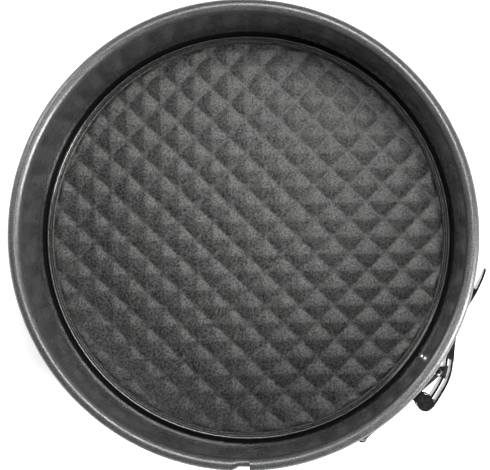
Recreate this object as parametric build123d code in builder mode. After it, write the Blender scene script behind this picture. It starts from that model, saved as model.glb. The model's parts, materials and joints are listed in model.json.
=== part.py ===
from build123d import *
import os
from math import cos, radians, sin

os.makedirs("parts", exist_ok=True)

# Springform pan, in millimetres. The origin is on the pan's axis at the face it stands on, +Z is up.
# Azimuths are degrees counterclockwise from +X, seen from above.

# Side band
inner_radius = 114.3
sheet = 0.6
height = 70.0
bead_radius = 3.3
outer_radius = inner_radius + sheet
bead_centre_radius = inner_radius + bead_radius
bead_z = height - bead_radius
curl_gap = 1.7
groove_radius = inner_radius + 1.7
groove_top = 7.5
lip_radius = 111.9

# The band is one springy strip. It is made as two halves that meet at its most flexed place.
flex_azimuth = 129.0
right_end_azimuth = -88.0
tongue_end_azimuth = -50.5
right_sweep = flex_azimuth - right_end_azimuth
end_gap_angle = 0.2
left_sweep = 360 - right_sweep - end_gap_angle
left_end_azimuth = flex_azimuth + left_sweep
neck_angle = 4.6
neck_radius = 2.2
neck_centre_radius = outer_radius + neck_radius - 0.3

# Outer layer of the lap, on the left half
tongue_inner = outer_radius + 0.3
tongue_outer = tongue_inner + sheet
tongue_bottom = 9.0
tongue_top = 62.8
tongue_joint_angle = 4.0

# Base
panel_radius = 109.0
ridge_radius = 112.4
edge_radius = inner_radius + 1.0
base_sheet = 0.6

# Clasp, placed by its three pivots, at mid height of the clasp
clasp_z = 40.0
pivot = Vector(94.8, -87.7)
link_pivot = Vector(102.7, -71.3)
hook_pivot = Vector(62.2, -106.4)
running_fit = 0.05
plate_sheet = 1.2
bracket_half = 13.0

# Pivot: half heights of its layers, from the lever's barrel out to the pin's heads, and its radii
neck_half = 6.0
washer_inner = 6.3
washer_outer = 6.75
ear_inner = 6.8
ear_outer = 8.0
head_outer = 8.9
pivot_pin_radius = 1.6
bush_radius = pivot_pin_radius + running_fit + 0.6
washer_radius = 3.7
barrel_radius = 4.0
pin_head_radius = 4.4
ear_half_width = 3.0

# Wire link and hook
wire_radius = 1.2
wire_half = 10.4
wire_bend = 2.5
wire_gap = 0.3
hook_half = 5.0
hook_barrel_radius = 2.5
hook_plate_half = 12.5

# Lever
lever_sheet = 1.2
half_sheet = lever_sheet / 2
handle_half = 8.5
flange_width = 3.8
flange_end_azimuth = -13.0
inner_strip_offset = 3.8
neck_reach = 26.0
link_eye_radius = 2.5
tip_length = 17.0
tip_half = 4.0

# The middle of the lever's sheet in plan, as radius and azimuth, from the pivot to the finger tip
lever_line = [
    (133.6, -42.4),
    (132.4, -38.5),
    (130.6, -34.4),
    (126.2, -29.9),
    (123.0, -26.3),
    (121.6, -21.0),
    (124.2, -15.0),
    (128.3, -7.8),
]

# Rivets
rivet_radius = 1.3
rivet_head_radius = 2.5
rivet_head_height = 0.8
rivet_half_spacing = 9.2
pivot_rivet_azimuths = (-34.2,)
hook_rivet_azimuths = (-53.6, -66.4)


def polar(radius, azimuth):
    """A point in plan."""
    return Vector(radius * cos(radians(azimuth)), radius * sin(radians(azimuth)))


def band_section(with_bead):
    """Half of the band's cross-section: lip, groove, straight wall and, if wanted, the rolled bead."""
    with BuildSketch(Plane.XZ) as section:
        with BuildLine():
            Polyline(
                (inner_radius, bead_z),
                (inner_radius, groove_top),
                (groove_radius, groove_top - 1.7),
                (groove_radius, 1.6),
                (groove_radius - 1.0, sheet),
                (lip_radius, sheet),
                (lip_radius, 0),
                (groove_radius - 0.7, 0),
                (groove_radius + sheet, 1.3),
                (groove_radius + sheet, groove_top - 1.4),
                (outer_radius, groove_top + 0.3),
                (outer_radius, bead_z),
                close=True,
            )
        make_face()
        if with_bead:
            with Locations((bead_centre_radius, bead_z)):
                Circle(bead_radius)
                Circle(bead_radius - sheet, mode=Mode.SUBTRACT)
            # The rolled edge stops just short of the wall.
            with Locations((outer_radius + curl_gap / 2, bead_z - bead_radius / 2)):
                Rectangle(curl_gap, bead_radius, mode=Mode.SUBTRACT)
    return section.sketch


def band_arc(start, sweep, with_bead=True):
    """The band's section turned about the pan's axis from one azimuth through an angle."""
    turned = Rotation(0, 0, start) * band_section(with_bead)
    return revolve(turned, Axis.Z, sweep)


def wall_strip(radius_1, radius_2, bottom, top, start, end):
    """A curved plate that follows the wall."""
    with BuildPart(mode=Mode.PRIVATE) as strip:
        with BuildSketch(Plane.XZ.rotated((0, 0, start))) as section:
            with BuildLine():
                Polyline((radius_1, bottom), (radius_2, bottom), (radius_2, top), (radius_1, top), close=True)
            make_face()
        revolve(axis=Axis.Z, revolution_arc=end - start)
    return strip.part


def radial_plane(radius, azimuth, z):
    """A plane on the wall that faces away from the pan's axis."""
    spot = polar(radius, azimuth)
    outward = polar(1, azimuth)
    return Plane(origin=(spot.X, spot.Y, z), z_dir=(outward.X, outward.Y, 0))


def rivet_spots(azimuths):
    """Azimuth and height of each rivet of a bracket."""
    heights = (clasp_z - rivet_half_spacing, clasp_z + rivet_half_spacing)
    return [(azimuth, z) for azimuth in azimuths for z in heights]


def bore(azimuth, z):
    """A rivet hole through the wall and whatever lies on it."""
    with BuildPart(radial_plane(inner_radius - 3, azimuth, z), mode=Mode.PRIVATE) as hole:
        Cylinder(rivet_radius, 9, align=(Align.CENTER, Align.CENTER, Align.MIN))
    return hole.part


def drill(azimuths):
    """Cut a bracket's rivet holes in the part being made."""
    for azimuth, z in rivet_spots(azimuths):
        add(bore(azimuth, z), mode=Mode.SUBTRACT)


def finish(builder, label):
    """Name a finished piece and write it."""
    builder.part.label = label
    export_step(builder.part, "parts/" + label + ".step")


# Base: flat panel, raised ridge and the edge that sits in the band's groove
with BuildPart() as base:
    with BuildSketch(Plane.XZ):
        with BuildLine():
            Polyline(
                (0, 0),
                (panel_radius + 0.4, 0),
                (panel_radius + 1.2, 0.8),
                (ridge_radius - 0.7, 0.8),
                (ridge_radius - 0.2, 2.0),
                (ridge_radius + 0.2, 2.0),
                (ridge_radius + 0.9, 0.9),
                (edge_radius, 0.9),
                (edge_radius, 0.9 + base_sheet),
                (ridge_radius + 1.2, 0.9 + base_sheet),
                (ridge_radius + 0.4, 2.0 + base_sheet),
                (ridge_radius - 0.4, 2.0 + base_sheet),
                (ridge_radius - 1.0, 0.8 + base_sheet),
                (panel_radius + 0.8, 0.8 + base_sheet),
                (panel_radius, base_sheet),
                (0, base_sheet),
                close=True,
            )
        make_face()
    revolve(axis=Axis.Z)
finish(base, "base")

# Right half of the band: the inner layer of the lap, with the full rolled bead
with BuildPart() as band_right:
    add(band_arc(right_end_azimuth, right_sweep))
    drill(pivot_rivet_azimuths)
finish(band_right, "band_right")

# Left half of the band: its bead ends in a neck, and its wall goes on outside the right half
neck_start = left_end_azimuth - neck_angle
with BuildPart() as band_left:
    add(band_arc(flex_azimuth, left_sweep - neck_angle))
    add(band_arc(neck_start, neck_angle, with_bead=False))
    add(
        wall_strip(
            outer_radius - 0.02,
            tongue_outer,
            tongue_bottom,
            tongue_top,
            left_end_azimuth - tongue_joint_angle,
            left_end_azimuth,
        )
    )
    add(
        wall_strip(
            tongue_inner, tongue_outer, tongue_bottom, tongue_top, left_end_azimuth, 360 + tongue_end_azimuth
        )
    )
    with BuildSketch(Plane.XZ.rotated((0, 0, neck_start))):
        with Locations((bead_centre_radius, bead_z)):
            Circle(bead_radius)
    with BuildSketch(Plane.XZ.rotated((0, 0, left_end_azimuth))):
        with Locations((neck_centre_radius, bead_z)):
            Circle(neck_radius)
    loft()
    drill(hook_rivet_azimuths)
finish(band_left, "band_left")

# Bracket on the right half that carries the lever
with BuildPart() as pivot_bracket:
    add(
        wall_strip(
            outer_radius,
            outer_radius + plate_sheet,
            clasp_z - bracket_half,
            clasp_z + bracket_half,
            tongue_end_azimuth + 1.2,
            -31.7,
        )
    )
    across = pivot.normalized().rotate(Axis.Z, 90) * ear_half_width
    for side in (-1, 1):
        low = clasp_z + min(side * ear_inner, side * ear_outer)
        with BuildSketch(Plane.XY.offset(low)):
            with BuildLine():
                Polyline(
                    polar(outer_radius + plate_sheet / 2, -44.6),
                    pivot - across,
                    pivot + across,
                    polar(outer_radius + plate_sheet / 2, -40.9),
                    close=True,
                )
            make_face()
            with Locations(pivot):
                Circle(washer_radius)
                Circle(pivot_pin_radius, mode=Mode.SUBTRACT)
        extrude(amount=ear_outer - ear_inner)
    drill(pivot_rivet_azimuths)
finish(pivot_bracket, "pivot_bracket")

# Pin with a broad round head at each end
with BuildPart() as pivot_pin:
    with BuildSketch(Plane.XY.offset(clasp_z - ear_outer)):
        with Locations(pivot):
            Circle(pivot_pin_radius)
    extrude(amount=2 * ear_outer)
    for low in (clasp_z - head_outer, clasp_z + ear_outer):
        with BuildSketch(Plane.XY.offset(low)):
            with Locations(pivot):
                Circle(pin_head_radius)
        extrude(amount=head_outer - ear_outer)
finish(pivot_pin, "pivot_pin")

# Washers between the lever's barrel and the bracket's ears
with BuildPart() as pivot_washers:
    for low in (clasp_z - washer_outer, clasp_z + washer_inner):
        with BuildSketch(Plane.XY.offset(low)):
            with Locations(pivot):
                Circle(washer_radius)
                Circle(pivot_pin_radius, mode=Mode.SUBTRACT)
        extrude(amount=washer_outer - washer_inner)
finish(pivot_washers, "pivot_washers")

# Bush pressed into the lever's barrel
with BuildPart() as pivot_bush:
    with BuildSketch(Plane.XY.offset(clasp_z - neck_half)):
        with Locations(pivot):
            Circle(bush_radius)
            Circle(pivot_pin_radius + running_fit, mode=Mode.SUBTRACT)
    extrude(amount=2 * neck_half)
finish(pivot_bush, "pivot_bush")


def lever_strip(inside, outside):
    """The plan of a strip that follows the lever's line, between two offsets from it."""
    with BuildSketch(mode=Mode.PRIVATE) as strip:
        with BuildLine():
            outer = Spline([polar(radius + outside, azimuth) for radius, azimuth in lever_line])
            inner = Spline([polar(radius - inside, azimuth) for radius, azimuth in lever_line])
            Line(outer @ 0, inner @ 0)
            Line(outer @ 1, inner @ 1)
        make_face()
    return strip.sketch


def inner_strip():
    """The plan of the neck's inner strip, from beside the pivot to where the channel starts."""
    with BuildSketch(mode=Mode.PRIVATE) as strip:
        add(lever_strip(inner_strip_offset, lever_sheet - inner_strip_offset))
        with BuildSketch(mode=Mode.INTERSECT):
            with Locations(pivot):
                Circle(neck_reach + lever_sheet)
    return strip.sketch


# Lever: a channel that follows the rim. Its neck is two upright strips that hold both pivots' barrels.
with BuildPart() as lever:
    with BuildSketch(Plane.XY.offset(clasp_z - handle_half)):
        add(lever_strip(flange_width, half_sheet))
        with Locations(pivot):
            Circle(neck_reach, mode=Mode.SUBTRACT)
    extrude(amount=2 * handle_half)
    hollow_half = handle_half - lever_sheet
    with BuildSketch(Plane.XY.offset(clasp_z - hollow_half)):
        add(lever_strip(flange_width + 5, -half_sheet))
        with Locations(pivot):
            Circle(neck_reach + lever_sheet, mode=Mode.SUBTRACT)
    extrude(amount=2 * hollow_half, mode=Mode.SUBTRACT)
    # Near the finger tip the flanges slope away and leave the bare outer face.
    shoulder_radius, shoulder_azimuth = lever_line[-2]
    tip_radius, tip_azimuth = lever_line[-1]
    with BuildSketch(Plane.XY.offset(clasp_z - handle_half)):
        with BuildLine():
            Polyline(
                polar(shoulder_radius - flange_width - 1, flange_end_azimuth - 4),
                polar(shoulder_radius - half_sheet, flange_end_azimuth),
                polar(tip_radius - half_sheet, tip_azimuth),
                polar(tip_radius - half_sheet, 0),
                polar(tip_radius - flange_width - 6, 0),
                close=True,
            )
        make_face()
        add(lever_strip(half_sheet, lever_sheet), mode=Mode.SUBTRACT)
    extrude(amount=2 * handle_half, mode=Mode.SUBTRACT)
    # Neck: both strips, both barrels and the bridge that carries the link's barrel
    with BuildSketch(Plane.XY.offset(clasp_z - neck_half)):
        add(lever_strip(half_sheet, half_sheet))
        add(inner_strip())
        with Locations(pivot):
            Circle(barrel_radius)
        with BuildLine():
            Polyline(
                polar(129.6, -35.6),
                link_pivot + (-1.0, 0.2 - link_eye_radius),
                link_pivot + (-0.8, link_eye_radius - 0.2),
                polar(127.2, -32.6),
                close=True,
            )
        make_face()
        with Locations(link_pivot):
            Circle(link_eye_radius)
        with Locations(pivot):
            Circle(bush_radius, mode=Mode.SUBTRACT)
        with Locations(link_pivot):
            Circle(wire_radius + running_fit, mode=Mode.SUBTRACT)
    extrude(amount=2 * neck_half)
    # The finger tip tapers and is round at its end.
    tip = polar(tip_radius, tip_azimuth)
    tip_run = tip - polar(shoulder_radius, shoulder_azimuth)
    tip_plane = Plane(
        origin=(tip.X, tip.Y, clasp_z),
        x_dir=tip_run.normalized(),
        z_dir=Vector(0, 0, 1).cross(tip_run),
    )
    with BuildSketch(tip_plane):
        with Locations((-tip_length / 2 + 1, 0)):
            Rectangle(tip_length + 2, 2 * handle_half + 2)
        with BuildLine():
            Polyline(
                (-tip_length - 1, handle_half + 1),
                (-tip_half, tip_half),
                (-tip_half, -tip_half),
                (-tip_length - 1, -handle_half - 1),
                close=True,
            )
        make_face(mode=Mode.SUBTRACT)
        with Locations((-tip_half, 0)):
            Circle(tip_half, mode=Mode.SUBTRACT)
    extrude(amount=12, both=True, mode=Mode.SUBTRACT)
finish(lever, "lever")

# Wire link: one bent wire whose cross bar turns in the lever. Its ends stop just short of the hook's barrel.
with BuildPart() as wire_link:
    stub_z = hook_half + wire_gap
    top = clasp_z + wire_half
    bottom = clasp_z - wire_half
    with BuildLine() as route:
        FilletPolyline(
            (hook_pivot.X, hook_pivot.Y, clasp_z + stub_z),
            (hook_pivot.X, hook_pivot.Y, top),
            (link_pivot.X, link_pivot.Y, top),
            (link_pivot.X, link_pivot.Y, bottom),
            (hook_pivot.X, hook_pivot.Y, bottom),
            (hook_pivot.X, hook_pivot.Y, clasp_z - stub_z),
            radius=wire_bend,
        )
    with BuildSketch(Plane(origin=route.line @ 0, z_dir=route.line % 0)):
        Circle(wire_radius)
    sweep()
finish(wire_link, "wire_link")

# Hook bracket on the left half: a plate with a rolled barrel in line with the wire's ends
with BuildPart() as hook_bracket:
    add(
        wall_strip(
            tongue_outer,
            tongue_outer + plate_sheet,
            clasp_z - hook_plate_half,
            clasp_z + hook_plate_half,
            -69.5,
            tongue_end_azimuth,
        )
    )
    with BuildSketch(Plane.XY.offset(clasp_z - hook_half)):
        with BuildLine() as web_line:
            Line(polar(tongue_outer + plate_sheet / 2, -61.5), hook_pivot)
        trace(web_line.line, line_width=plate_sheet)
        with Locations(hook_pivot):
            Circle(hook_barrel_radius)
            Circle(wire_radius + running_fit, mode=Mode.SUBTRACT)
    extrude(amount=2 * hook_half)
    drill(hook_rivet_azimuths)
finish(hook_bracket, "hook_bracket")


def rivets(azimuths, inside, outside, with_inner_head):
    """The rivets of one bracket: a shank through the wall and plate, and domed heads."""
    with BuildPart(mode=Mode.PRIVATE) as group:
        for azimuth, z in rivet_spots(azimuths):
            with BuildSketch(radial_plane(inside, azimuth, z)):
                Circle(rivet_radius)
            extrude(amount=outside - inside + 0.1)
            with BuildSketch(radial_plane(outside + 0.02, azimuth, z)):
                Circle(rivet_head_radius)
            extrude(amount=rivet_head_height, taper=30)
            if with_inner_head:
                with BuildSketch(radial_plane(inside, azimuth, z)):
                    Circle(rivet_head_radius)
                extrude(amount=-0.5, taper=30)
    return group.part


with BuildPart() as pivot_rivets:
    add(rivets(pivot_rivet_azimuths, inner_radius - 0.05, outer_radius + plate_sheet, True))
finish(pivot_rivets, "pivot_rivets")

with BuildPart() as hook_rivets:
    add(rivets(hook_rivet_azimuths, tongue_inner + 0.05, tongue_outer + plate_sheet, False))
finish(hook_rivets, "hook_rivets")
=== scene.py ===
"""The looks of a springform pan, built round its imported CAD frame. Sizes are in metres."""
import json
from math import atan2, cos, degrees, hypot, pi, radians, sin

import bpy
import numpy as np
from mathutils import Matrix, Vector


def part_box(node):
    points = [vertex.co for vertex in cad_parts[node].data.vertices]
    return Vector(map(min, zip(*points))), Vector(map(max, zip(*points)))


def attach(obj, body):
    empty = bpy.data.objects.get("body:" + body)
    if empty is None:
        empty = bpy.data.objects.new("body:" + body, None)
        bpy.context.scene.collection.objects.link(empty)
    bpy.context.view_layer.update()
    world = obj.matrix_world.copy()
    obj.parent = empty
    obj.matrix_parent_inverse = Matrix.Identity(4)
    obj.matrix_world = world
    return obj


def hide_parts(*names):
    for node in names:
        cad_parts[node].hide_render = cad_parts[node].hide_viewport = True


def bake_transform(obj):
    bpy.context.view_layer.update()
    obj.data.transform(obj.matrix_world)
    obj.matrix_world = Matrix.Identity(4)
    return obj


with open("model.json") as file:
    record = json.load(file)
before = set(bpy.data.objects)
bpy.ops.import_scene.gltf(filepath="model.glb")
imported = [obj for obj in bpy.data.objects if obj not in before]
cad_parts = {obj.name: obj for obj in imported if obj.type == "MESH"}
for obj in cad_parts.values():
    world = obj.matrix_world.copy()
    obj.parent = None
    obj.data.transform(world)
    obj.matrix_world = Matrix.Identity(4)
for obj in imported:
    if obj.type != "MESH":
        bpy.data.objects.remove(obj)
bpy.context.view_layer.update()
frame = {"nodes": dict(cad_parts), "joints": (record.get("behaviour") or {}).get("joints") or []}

MM = 0.001
scene = bpy.context.scene
joints = {joint["name"]: joint for joint in frame["joints"]}

# Driving sizes. The band's height and outer radius come from its CAD box and its hinge. The others are set
# here, the same as the CAD's or close to them. Azimuths are degrees counterclockwise from +X.
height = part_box("band_right")[1].z
flex_x, flex_y, _ = joints["band_flex"]["pos_m"]
bead_outer_radius = hypot(flex_x, flex_y)
flex_azimuth = degrees(atan2(flex_y, flex_x))
sheet = 0.6 * MM
bead_radius = 3.3 * MM
bead_z = height - bead_radius
wall_radius = bead_outer_radius - 2 * bead_radius + sheet / 2
right_end_azimuth = -88.0
flex_half_angle = 32.0

# The left half's skin stops a hair short of the right half's end.
left_end_azimuth = 271.96

# The band's section below its bead: an inward lip, then the groove that holds the base.
lip_reach = 2.7 * MM
lip_z = 0.3 * MM
groove_offset = 1.7 * MM
groove_bevel = 0.8 * MM
groove_floor = 1.3 * MM
groove_top = 6.0 * MM
shoulder_top = 7.7 * MM
fold_radius = 0.5 * MM
roll_step, roll_end = 12, -143

# The left half's bead necks down at its end and goes on a little inside the right half's bead.
full_roll = bead_radius - sheet / 2
neck_roll = 1.9 * MM
neck_start, neck_end = 267.6, 269.2
tongue_start, tongue_end = 269.6, 273.4

# The lap's outer layer.
lap_offset = 0.9 * MM
lap_start, lap_end = 266.6, 309.5
lap_joggle = 2.2
lap_bottom, lap_top = 9.0 * MM, 62.8 * MM
lap_corner = 5.0 * MM


# ---------------------------------------------------------------- shapes


def polar(radius, azimuth, z=0.0):
    """A point from its radius, its azimuth in degrees and its height."""
    return Vector((radius * cos(radians(azimuth)), radius * sin(radians(azimuth)), z))


def rounded(points, radius, steps=6):
    """A polyline's points with its corners turned into arcs."""
    path = [Vector(points[0])]
    for before, corner, after in zip(points, points[1:], points[2:]):
        corner = Vector(corner)
        back = (Vector(before) - corner).normalized()
        ahead = (Vector(after) - corner).normalized()
        reach = radius / max(0.2, abs(np.tan(back.angle(ahead) / 2)))
        reach = min(reach, 0.45 * (Vector(before) - corner).length, 0.45 * (Vector(after) - corner).length)
        start, end = corner + back * reach, corner + ahead * reach
        for step in range(steps + 1):
            t = step / steps
            path.append(start * (1 - t) ** 2 + corner * 2 * t * (1 - t) + end * t**2)
    path.append(Vector(points[-1]))
    return path


def sheet_outline(line, thickness, cap_steps=4):
    """The closed outline of a sheet along a centre line, with rounded edges, and the outline's normals."""
    line = np.array([tuple(point) for point in line])
    along = np.gradient(line, axis=0)
    along /= np.linalg.norm(along, axis=1)[:, None]
    side = np.stack([along[:, 1], -along[:, 0]], axis=1)
    caps = []
    for end, sign in ((-1, 1), (0, -1)):
        angles = np.linspace(0, pi, cap_steps + 2)[1:-1]
        caps.append([sign * (side[end] * cos(a) + along[end] * sin(a)) for a in angles])
    normals = np.concatenate([side, caps[0], -side[::-1], caps[1]])
    centres = np.concatenate(
        [line, np.repeat(line[-1:], cap_steps, 0), line[::-1], np.repeat(line[:1], cap_steps, 0)]
    )
    return centres + normals * thickness / 2, normals


def new_object(name, vertices, faces, normals=None, smooth_angle=None):
    """A mesh object from its points and faces, smooth shaded."""
    mesh = bpy.data.meshes.new(name)
    mesh.from_pydata([tuple(v) for v in vertices], [], [tuple(int(i) for i in f) for f in faces])
    mesh.validate()
    mesh.polygons.foreach_set("use_smooth", [True] * len(mesh.polygons))
    if normals is not None:
        mesh.normals_split_custom_set_from_vertices([tuple(n) for n in normals])
    if smooth_angle is not None:
        mesh.set_sharp_from_angle(angle=radians(smooth_angle))
    obj = bpy.data.objects.new(name, mesh)
    scene.collection.objects.link(obj)
    return obj


def turned(name, outline_at, start, end, step=1.0, capped=True):
    """A ring, or part of one, whose outline at each azimuth is outline_at(azimuth)."""
    count = max(2, int(round((end - start) / step)) + 1)
    azimuths = np.linspace(start, end, count)
    whole = end - start > 359.9
    if whole:
        azimuths = azimuths[:-1]
    points, normals = [], []
    for azimuth in azimuths:
        outline, outward = outline_at(azimuth)
        c, s = cos(radians(azimuth)), sin(radians(azimuth))
        points.append(np.stack([outline[:, 0] * c, outline[:, 0] * s, outline[:, 1]], 1))
        normals.append(np.stack([outward[:, 0] * c, outward[:, 0] * s, outward[:, 1]], 1))
    size, rows = len(points[0]), len(points)
    faces = []
    for row in range(rows if whole else rows - 1):
        after = (row + 1) % rows
        for i in range(size):
            j = (i + 1) % size
            faces.append((row * size + i, after * size + i, after * size + j, row * size + j))
    if not whole and capped:
        faces.append(range(size))
        faces.append(range(rows * size - 1, (rows - 1) * size - 1, -1))
    points, normals = np.concatenate(points), np.concatenate(normals)
    return new_object(name, points, faces, normals if not capped else None, None if not capped else 40)


# ---------------------------------------------------------------- band


def band_line(roll):
    """The centre line of the band's section. roll is the radius of its rolled bead."""
    corners = [
        (wall_radius - lip_reach, lip_z),
        (wall_radius + groove_offset - groove_bevel, lip_z),
        (wall_radius + groove_offset, groove_floor),
        (wall_radius + groove_offset, groove_top),
        (wall_radius, shoulder_top),
        (wall_radius, bead_z - 8 * MM),
    ]
    line = rounded([Vector(corner) for corner in corners], fold_radius)
    for z in np.linspace(bead_z - 6 * MM, bead_z - 1 * MM, 4):
        line.append(Vector((wall_radius, z)))
    # The bead rolls outwards over its top and stops short of the wall.
    for angle in range(180, roll_end, -roll_step):
        line.append(
            Vector((wall_radius + roll + roll * cos(radians(angle)), bead_z + roll * sin(radians(angle))))
        )
    return line


def band_outline(azimuth):
    """The band's outline. Towards the end of the left half its bead necks down."""
    t = min(1.0, max(0.0, (azimuth - neck_start) / (neck_end - neck_start)))
    t = t * t * (3 - 2 * t)
    return sheet_outline(band_line(full_roll + (neck_roll - full_roll) * t), sheet)


def band_part(name, start, end):
    """A stretch of the band, with the section's own normals so that stretches meet unseen."""
    return turned(name, band_outline, start, end, step=0.9, capped=False)


def lap_tongue():
    """The outer layer of the lap: it steps out of the left half's wall and ends in rounded corners."""
    outer = wall_radius + lap_offset
    coarse_end, fine_start = lap_end - 2.8, lap_end - 2.6
    azimuths = np.concatenate([np.linspace(lap_start, coarse_end, 60), np.linspace(fine_start, lap_end, 14)])
    rows = 26
    vertices, faces = [], []
    for azimuth in azimuths:
        t = min(1.0, max(0.0, (azimuth - lap_start) / lap_joggle))
        radius = wall_radius + (outer - wall_radius) * t * t * (3 - 2 * t)
        left = max(0.0, lap_corner - radians(lap_end - azimuth) * outer)
        cut = lap_corner - (lap_corner**2 - left**2) ** 0.5
        for side in (-1, 1):
            for row in range(rows):
                z = lap_bottom + cut + (lap_top - lap_bottom - 2 * cut) * row / (rows - 1)
                vertices.append(polar(radius + side * sheet / 2, azimuth, z))
    ring = 2 * rows
    last = (len(azimuths) - 1) * ring
    order = list(range(rows)) + list(range(2 * rows - 1, rows - 1, -1))
    for i in range(len(azimuths) - 1):
        for a, b in zip(order, order[1:] + order[:1]):
            faces.append((i * ring + a, i * ring + b, (i + 1) * ring + b, (i + 1) * ring + a))
    faces.append([last + a for a in order])
    faces.append(order[::-1])
    return new_object("lap_tongue", vertices, faces, smooth_angle=40)


def bead_tongue():
    """The necked end of the left half's bead, which goes on a little way inside the right half's bead."""
    centre = wall_radius + neck_roll + sheet / 2
    radius = neck_roll - 0.4 * MM
    angles = np.linspace(0, 2 * pi, 20, endpoint=False)
    outward = np.stack([np.cos(angles), -np.sin(angles)], 1)
    outline = np.array([centre, bead_z]) + outward * radius
    return turned("bead_tongue", lambda azimuth: (outline, outward), tongue_start, tongue_end, step=0.4)


# ---------------------------------------------------------------- base

diamond_diagonal = 19.1 * MM
diamond_height = 0.7 * MM

# A diamond's shape: a high hip power keeps its hips sharp, and a crown power over 1 domes its top. The last
# two flatten its corners and soften its valleys.
hip_power = 9
crown_power = 1.3
corner_flat = 0.2
valley_softness = 0.03

# The lattice's turn in degrees, and its shift in half diagonals.
lattice_turn = 1.1
lattice_shift = (0.0, 0.1)
panel_radius = 109.6 * MM
panel_fade = 1.6 * MM
ridge_edge = panel_radius + 3.2 * MM
cells_per_half = 10


def diamond_lift(u, v):
    """How far the pressed panel rises at a place, in lattice units of half a diagonal."""
    # Diamond centres are where u and v are whole and their sum is even.
    du = np.abs((u + v + 1) % 2 - 1)
    dv = np.abs((u - v + 1) % 2 - 1)
    far = (du**hip_power + dv**hip_power) ** (1 / hip_power)
    # The corners between four diamonds are left flat.
    far += corner_flat * (du * dv) ** 1.5
    lift = 1 - far**crown_power
    return valley_softness * np.logaddexp(0, lift / valley_softness)


def panel():
    """The pressed panel of raised diamonds, as a closed sheet cut round at its edge."""
    step = diamond_diagonal / 2 / cells_per_half
    reach = int(panel_radius / step) + 2
    grid = np.arange(-reach, reach + 1)
    x, y = np.meshgrid(grid * step, grid * step, indexing="ij")
    radius = np.hypot(x, y)
    phase_u, phase_v = lattice_shift
    lift = diamond_lift(grid[:, None] / cells_per_half + phase_u, grid[None, :] / cells_per_half + phase_v)
    fade = np.clip((panel_radius - radius) / panel_fade, 0, 1)
    lift = lift * fade * fade * (3 - 2 * fade) * diamond_height
    over = radius > panel_radius - 0.5 * step
    scale = np.where(over, panel_radius / np.maximum(radius, 1e-9), 1.0)
    keep = radius < panel_radius + 0.75 * step
    turn = radians(lattice_turn)
    flat_x, flat_y = x * scale, y * scale
    world_x = flat_x * cos(turn) - flat_y * sin(turn)
    world_y = flat_x * sin(turn) + flat_y * cos(turn)
    number = np.full(x.shape, -1)
    number[keep] = np.arange(keep.sum())
    count = int(keep.sum())
    upper = np.stack([world_x[keep], world_y[keep], lift[keep] + sheet], 1)
    lower = np.stack([world_x[keep], world_y[keep], lift[keep]], 1)
    middle_u = (grid[:-1] + 0.5) / cells_per_half + phase_u
    middle_v = (grid[:-1] + 0.5) / cells_per_half + phase_v
    triangles = []
    for i in range(len(grid) - 1):
        for j in range(len(grid) - 1):
            a, b, c, d = number[i, j], number[i + 1, j], number[i + 1, j + 1], number[i, j + 1]
            if over[i, j] and over[i + 1, j] and over[i + 1, j + 1] and over[i, j + 1]:
                continue
            if min(a, b, c, d) < 0:
                corners = [k for k in (a, b, c, d) if k >= 0]
                if len(corners) == 3:
                    triangles.append(tuple(corners))
                continue
            # Each cell is split along the diamond's own edge direction.
            if sin(pi * middle_u[i]) * sin(pi * middle_v[j]) > 0:
                triangles += [(a, b, d), (b, c, d)]
            else:
                triangles += [(a, b, c), (a, c, d)]
    edges = {}
    for triangle in triangles:
        for edge in zip(triangle, triangle[1:] + triangle[:1]):
            edges[edge] = True
    faces = list(triangles)
    faces += [(a + count, c + count, b + count) for a, b, c in triangles]
    faces += [(b, a, a + count, b + count) for a, b in edges if (b, a) not in edges]
    return new_object("pressed_panel", np.concatenate([upper, lower]), faces, smooth_angle=60)


def base_rim():
    """The ring round the panel: a fine step, a channel, the raised ridge and the edge in the groove."""
    corners = [
        (panel_radius - 1.2 * MM, 0.28 * MM),
        (panel_radius - 0.3 * MM, 0.36 * MM),
        (panel_radius + 0.15 * MM, 1.25 * MM),
        (panel_radius + 0.75 * MM, 1.3 * MM),
        (panel_radius + 1.15 * MM, 0.75 * MM),
        (panel_radius + 1.95 * MM, 0.75 * MM),
        (panel_radius + 2.45 * MM, 2.2 * MM),
        (panel_radius + 3.1 * MM, 2.3 * MM),
        (panel_radius + 3.9 * MM, 1.25 * MM),
        (panel_radius + 5.7 * MM, 1.2 * MM),
    ]
    line = rounded([Vector(corner) for corner in corners], 0.35 * MM, steps=4)
    outline = sheet_outline(line, 0.56 * MM)
    return turned("base_ridge", lambda azimuth: outline, 0, 360, step=1.0, capped=False)


# ---------------------------------------------------------------- materials


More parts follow.
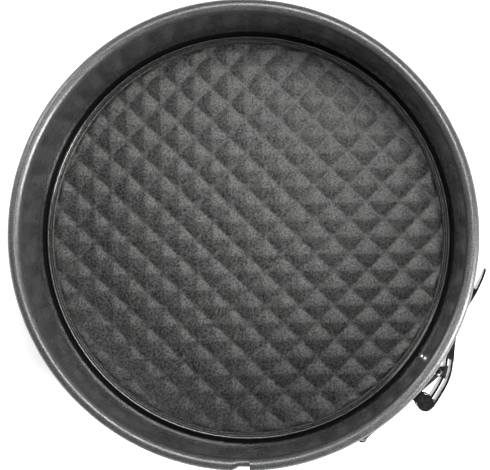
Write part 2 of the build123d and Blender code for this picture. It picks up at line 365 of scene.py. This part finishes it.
class Nodes:
    """A material and short ways to add nodes to it."""

    def __init__(self, name, colour, roughness, metallic, **sockets):
        self.material = bpy.data.materials.new(name)
        self.material.use_nodes = True
        self.tree = self.material.node_tree
        self.shader = self.tree.nodes["Principled BSDF"]
        self.shader.inputs["Base Color"].default_value = (*colour, 1)
        self.shader.inputs["Roughness"].default_value = roughness
        self.shader.inputs["Metallic"].default_value = metallic
        for socket, value in sockets.items():
            self.shader.inputs[socket.replace("_", " ")].default_value = value
        self.place = self.add("ShaderNodeTexCoord").outputs["Object"]

    def add(self, kind, **inputs):
        """A node with some of its inputs set or linked."""
        node = self.tree.nodes.new(kind)
        for name, value in inputs.items():
            socket = node.inputs[name.replace("_", " ")]
            if isinstance(value, bpy.types.NodeSocket):
                self.tree.links.new(value, socket)
            else:
                socket.default_value = value
        return node

    def link(self, output, name):
        """Link an output to the shader."""
        self.tree.links.new(output, self.shader.inputs[name])

    def noise(self, size, detail=2.0, rough=0.5):
        """Noise whose features are about that size in metres, from 0 to 1."""
        node = self.add("ShaderNodeTexNoise", Vector=self.place, Scale=1 / size, Detail=detail)
        node.inputs["Roughness"].default_value = rough
        return node.outputs["Fac"]

    def distance(self):
        """Distance from the pan's axis."""
        across = self.add("ShaderNodeVectorMath", Vector=self.place)
        across.operation = "MULTIPLY"
        across.inputs[1].default_value = (1, 1, 0)
        length = self.add("ShaderNodeVectorMath", Vector=across.outputs["Vector"])
        length.operation = "LENGTH"
        return length.outputs["Value"]

    def mapped(self, value, low, high, to_low, to_high):
        """A value's range mapped to another."""
        node = self.add("ShaderNodeMapRange", Value=value)
        for name, number in (("From Min", low), ("From Max", high), ("To Min", to_low), ("To Max", to_high)):
            node.inputs[name].default_value = number
        return node.outputs["Result"]

    def math(self, operation, a, b):
        """Arithmetic on two values, each a socket or a number."""
        node = self.add("ShaderNodeMath")
        node.operation = operation
        for socket, value in zip(node.inputs, (a, b)):
            if isinstance(value, bpy.types.NodeSocket):
                self.tree.links.new(value, socket)
            else:
                socket.default_value = value
        return node.outputs["Value"]

    def sum(self, a, b):
        """One value plus another."""
        return self.math("ADD", a, b)

    def product(self, a, b):
        """One value times another."""
        return self.math("MULTIPLY", a, b)

    def shade(self, factor, dark, light):
        """A colour between two, by a factor, to the base colour."""
        mix = self.tree.nodes.new("ShaderNodeMix")
        mix.data_type = "RGBA"
        self.tree.links.new(factor, mix.inputs["Factor"])
        mix.inputs["A"].default_value = (*dark, 1)
        mix.inputs["B"].default_value = (*light, 1)
        self.link(mix.outputs["Result"], "Base Color")

    def bump(self, heights):
        """Bumps from (value, depth in metres) pairs, one on another."""
        normal = None
        for value, depth in heights:
            node = self.add("ShaderNodeBump", Height=value, Distance=depth, Strength=1.0)
            if normal is not None:
                self.tree.links.new(normal, node.inputs["Normal"])
            normal = node.outputs["Normal"]
        self.link(normal, "Normal")


def coated_base():
    """Non-stick coating with a coarse metallic sparkle, and painted shade: black where the edge goes into
    the groove.
    """
    n = Nodes("base_coating", (0.05, 0.049, 0.0485), 0.4, 0.55, Specular_IOR_Level=0.3, Coat_Roughness=0.07)
    grain = n.noise(0.62 * MM, 3, 0.7)
    flake = n.noise(1.2 * MM, 2, 0.6)
    sparkle = n.mapped(n.sum(grain, flake), 0.82, 1.2, 0, 1)
    radius = n.distance()
    # Painted shade: just beyond the ridge the colour falls to its darkest, and specular and coat almost to
    # nothing, for the shade where the edge enters the groove.
    groove_painted_shade = n.mapped(radius, ridge_edge, ridge_edge + 0.5 * MM, 1, 0.05)
    n.shade(n.product(sparkle, groove_painted_shade), (0.0087, 0.0086, 0.0085), (0.0615, 0.0602, 0.0588))
    on_ring = n.mapped(radius, panel_radius + 0.5 * MM, panel_radius + 1.5 * MM, 0, 1)
    n.link(n.sum(n.mapped(flake, 0.3, 0.7, 0.34, 0.46), n.product(on_ring, -0.2)), "Roughness")
    n.link(n.product(groove_painted_shade, 0.26), "Specular IOR Level")
    n.link(n.product(on_ring, groove_painted_shade), "Coat Weight")
    n.bump([(grain, 0.06 * MM), (flake, 0.06 * MM)])
    return n.material


def coated_band():
    """The same coating on the band: glossy with faint smears on the wall; on the bead grainy, duller and
    painted lighter as sheen.
    """
    n = Nodes("band_coating", (0.035, 0.035, 0.036), 0.3, 0.6, Coat_Roughness=0.1)
    grain = n.noise(0.55 * MM, 2, 0.6)
    smears = n.noise(7 * MM, 3, 0.6)
    rolled = n.add("ShaderNodeMapping", Vector=n.place, Scale=(0.1, 0.1, 1)).outputs["Vector"]
    lines = n.add("ShaderNodeTexNoise", Vector=rolled, Scale=1 / (2.4 * MM), Detail=2.0).outputs["Fac"]
    z = n.add("ShaderNodeSeparateXYZ", Vector=n.place).outputs["Z"]
    on_bead = n.mapped(z, bead_z - bead_radius, bead_z - bead_radius + 1 * MM, 0, 1)
    # On the bead the colour is lighter: partly its grain, partly a painted sheen that stands for the bead's
    # highlights.
    bead_grain_and_painted_sheen = n.product(on_bead, n.mapped(grain, 0.34, 0.66, 0.0, 0.55))
    n.shade(n.sum(n.mapped(grain, 0.3, 0.72, 0, 0.25), bead_grain_and_painted_sheen), (0.015, 0.015, 0.0153), (0.15, 0.15, 0.152))
    n.link(n.sum(n.mapped(smears, 0.35, 0.65, 0.17, 0.3), n.product(on_bead, 0.13)), "Roughness")
    n.link(n.mapped(on_bead, 0, 1, 0.6, 0.1), "Coat Weight")
    wall_lines = n.product(lines, n.mapped(on_bead, 0, 1, 1, 0))
    n.bump([(n.product(grain, n.mapped(on_bead, 0, 1, 0.1, 1)), 0.06 * MM), (wall_lines, 0.1 * MM)])
    return n.material


def clasp_steel(name, colour, roughness, lines_per_metre=260.0):
    """Plated steel with fine drawing lines and handling marks."""
    n = Nodes(name, colour, roughness, 1.0)
    drawn = n.add("ShaderNodeMapping", Vector=n.place, Scale=(1, 1, 9)).outputs["Vector"]
    lines = n.add("ShaderNodeTexNoise", Vector=drawn, Scale=lines_per_metre, Detail=4.0).outputs["Fac"]
    marks = n.noise(5 * MM, 4, 0.6)
    n.shade(n.mapped(marks, 0.3, 0.75, 0, 1), [c * 0.72 for c in colour], [min(1, c * 1.15) for c in colour])
    n.link(n.mapped(lines, 0.3, 0.7, roughness - 0.06, roughness + 0.1), "Roughness")
    n.bump([(lines, 0.012 * MM)])
    return n.material


def dark_pin():
    """Near black on the pin's heads."""
    n = Nodes("pin_black", (0.006, 0.006, 0.0065), 0.5, 0.0, Specular_IOR_Level=0.12)
    wear = n.noise(1.1 * MM, 4, 0.6)
    n.shade(n.mapped(wear, 0.45, 0.8, 0, 1), (0.002, 0.002, 0.0022), (0.02, 0.02, 0.021))
    n.link(n.mapped(wear, 0.3, 0.7, 0.3, 0.5), "Roughness")
    n.bump([(wear, 0.03 * MM)])
    return n.material


def paint(obj, material):
    """Give an object one material."""
    obj.data.materials.clear()
    obj.data.materials.append(material)


band_material = coated_band()
base_material = coated_base()
steel = clasp_steel("clasp_steel", (0.035, 0.035, 0.036), 0.24)
bright = clasp_steel("wire_steel", (0.12, 0.12, 0.122), 0.16)
rivet_steel = clasp_steel("rivet_steel", (0.55, 0.55, 0.56), 0.3)
black = dark_pin()

# ---------------------------------------------------------------- the pieces

right_skin = band_part("band_right_skin", right_end_azimuth, flex_azimuth - flex_half_angle)
left_skin = band_part("band_left_skin", flex_azimuth + flex_half_angle, left_end_azimuth)
flex_skin = band_part("band_back_skin", flex_azimuth - flex_half_angle, flex_azimuth + flex_half_angle)
tongue = lap_tongue()
neck = bead_tongue()
for piece in (right_skin, left_skin, flex_skin, tongue, neck):
    paint(piece, band_material)
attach(right_skin, "pan")
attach(left_skin, "left_band")
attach(tongue, "left_band")
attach(neck, "left_band")
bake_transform(flex_skin)
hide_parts("band_right")
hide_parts("band_left")

pressed = panel()
ridge = base_rim()
for piece in (pressed, ridge):
    paint(piece, base_material)
    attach(piece, "pan")
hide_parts("base")

for node in ("pivot_bracket", "hook_bracket", "lever"):
    paint(frame["nodes"][node], steel)
for node in ("pivot_rivets", "hook_rivets"):
    paint(frame["nodes"][node], rivet_steel)
paint(frame["nodes"]["wire_link"], bright)
for node in ("pivot_pin", "pivot_washers", "pivot_bush"):
    paint(frame["nodes"][node], black)

# ---------------------------------------------------------------- stage


def floor():
    """A plain pale floor, just below the pan so that the two aren't in one plane. It glows as painted light.
    """
    mesh = bpy.data.meshes.new("floor")
    half = 12.0
    low = -0.1 * MM
    corners = [(-half, -half, low), (half, -half, low), (half, half, low), (-half, half, low)]
    mesh.from_pydata(corners, [], [(0, 1, 2, 3)])
    obj = bpy.data.objects.new("floor", mesh)
    scene.collection.objects.link(obj)
    n = Nodes("floor_white", (0.95, 0.95, 0.95), 0.8, 0.0, Emission_Color=(1, 1, 1, 1))
    # Painted light: the floor glows, more strongly further from the pan's axis.
    n.link(n.mapped(n.distance(), 0.3, 2.0, 0.25, 0.75), "Emission Strength")
    paint(obj, n.material)


def soft_light(name, place, target, size, power):
    """A rectangular area light turned to a point."""
    light = bpy.data.lights.new(name, "AREA")
    light.shape = "RECTANGLE"
    light.size, light.size_y = size
    light.energy = power
    obj = bpy.data.objects.new(name, light)
    obj.location = place
    obj.rotation_euler = (Vector(target) - Vector(place)).to_track_quat("-Z", "Y").to_euler()
    scene.collection.objects.link(obj)


def camera():
    """Almost straight above, a little to the +X and -Y side of the pan's axis."""
    data = bpy.data.cameras.new("camera")
    data.sensor_width = 36.0
    data.lens = 96.8
    data.clip_end = 20
    obj = bpy.data.objects.new("camera", data)
    obj.location = (31.8 * MM, -17.3 * MM, 740 * MM)
    target = Vector((1.6 * MM, -0.5 * MM, 66 * MM))
    back = (obj.location - target).normalized()
    right = Vector((0, 1, 0)).cross(back).normalized()
    up = back.cross(right)
    obj.rotation_euler = Matrix((right, up, back)).transposed().to_euler()
    scene.collection.objects.link(obj)
    scene.camera = obj


def studio():
    """A white room: bright round the horizon, dimmer overhead."""
    world = bpy.data.worlds.new("studio")
    world.use_nodes = True
    tree = world.node_tree
    background = tree.nodes["Background"]
    background.inputs["Color"].default_value = (1, 1, 1, 1)
    place = tree.nodes.new("ShaderNodeTexCoord")
    split = tree.nodes.new("ShaderNodeSeparateXYZ")
    fall = tree.nodes.new("ShaderNodeMapRange")
    for name, number in (("From Min", 0.12), ("From Max", 0.4), ("To Min", 0.95), ("To Max", 0.28)):
        fall.inputs[name].default_value = number
    tree.links.new(place.outputs["Generated"], split.inputs[0])
    tree.links.new(split.outputs["Z"], fall.inputs["Value"])
    tree.links.new(fall.outputs["Result"], background.inputs["Strength"])
    scene.world = world


floor()
camera()
studio()
soft_light("key", (0.1, 0.23, 0.85), (0, 0, 0.03), (0.3, 0.3), 6.5)
soft_light("side_left", (-0.95, 0.6, 0.75), (0, 0, 0.07), (0.4, 1.0), 12)
soft_light("side_right", (1.1, -0.45, 0.78), (0, 0, 0.07), (0.4, 1.0), 44)
scene.view_settings.view_transform = "Standard"
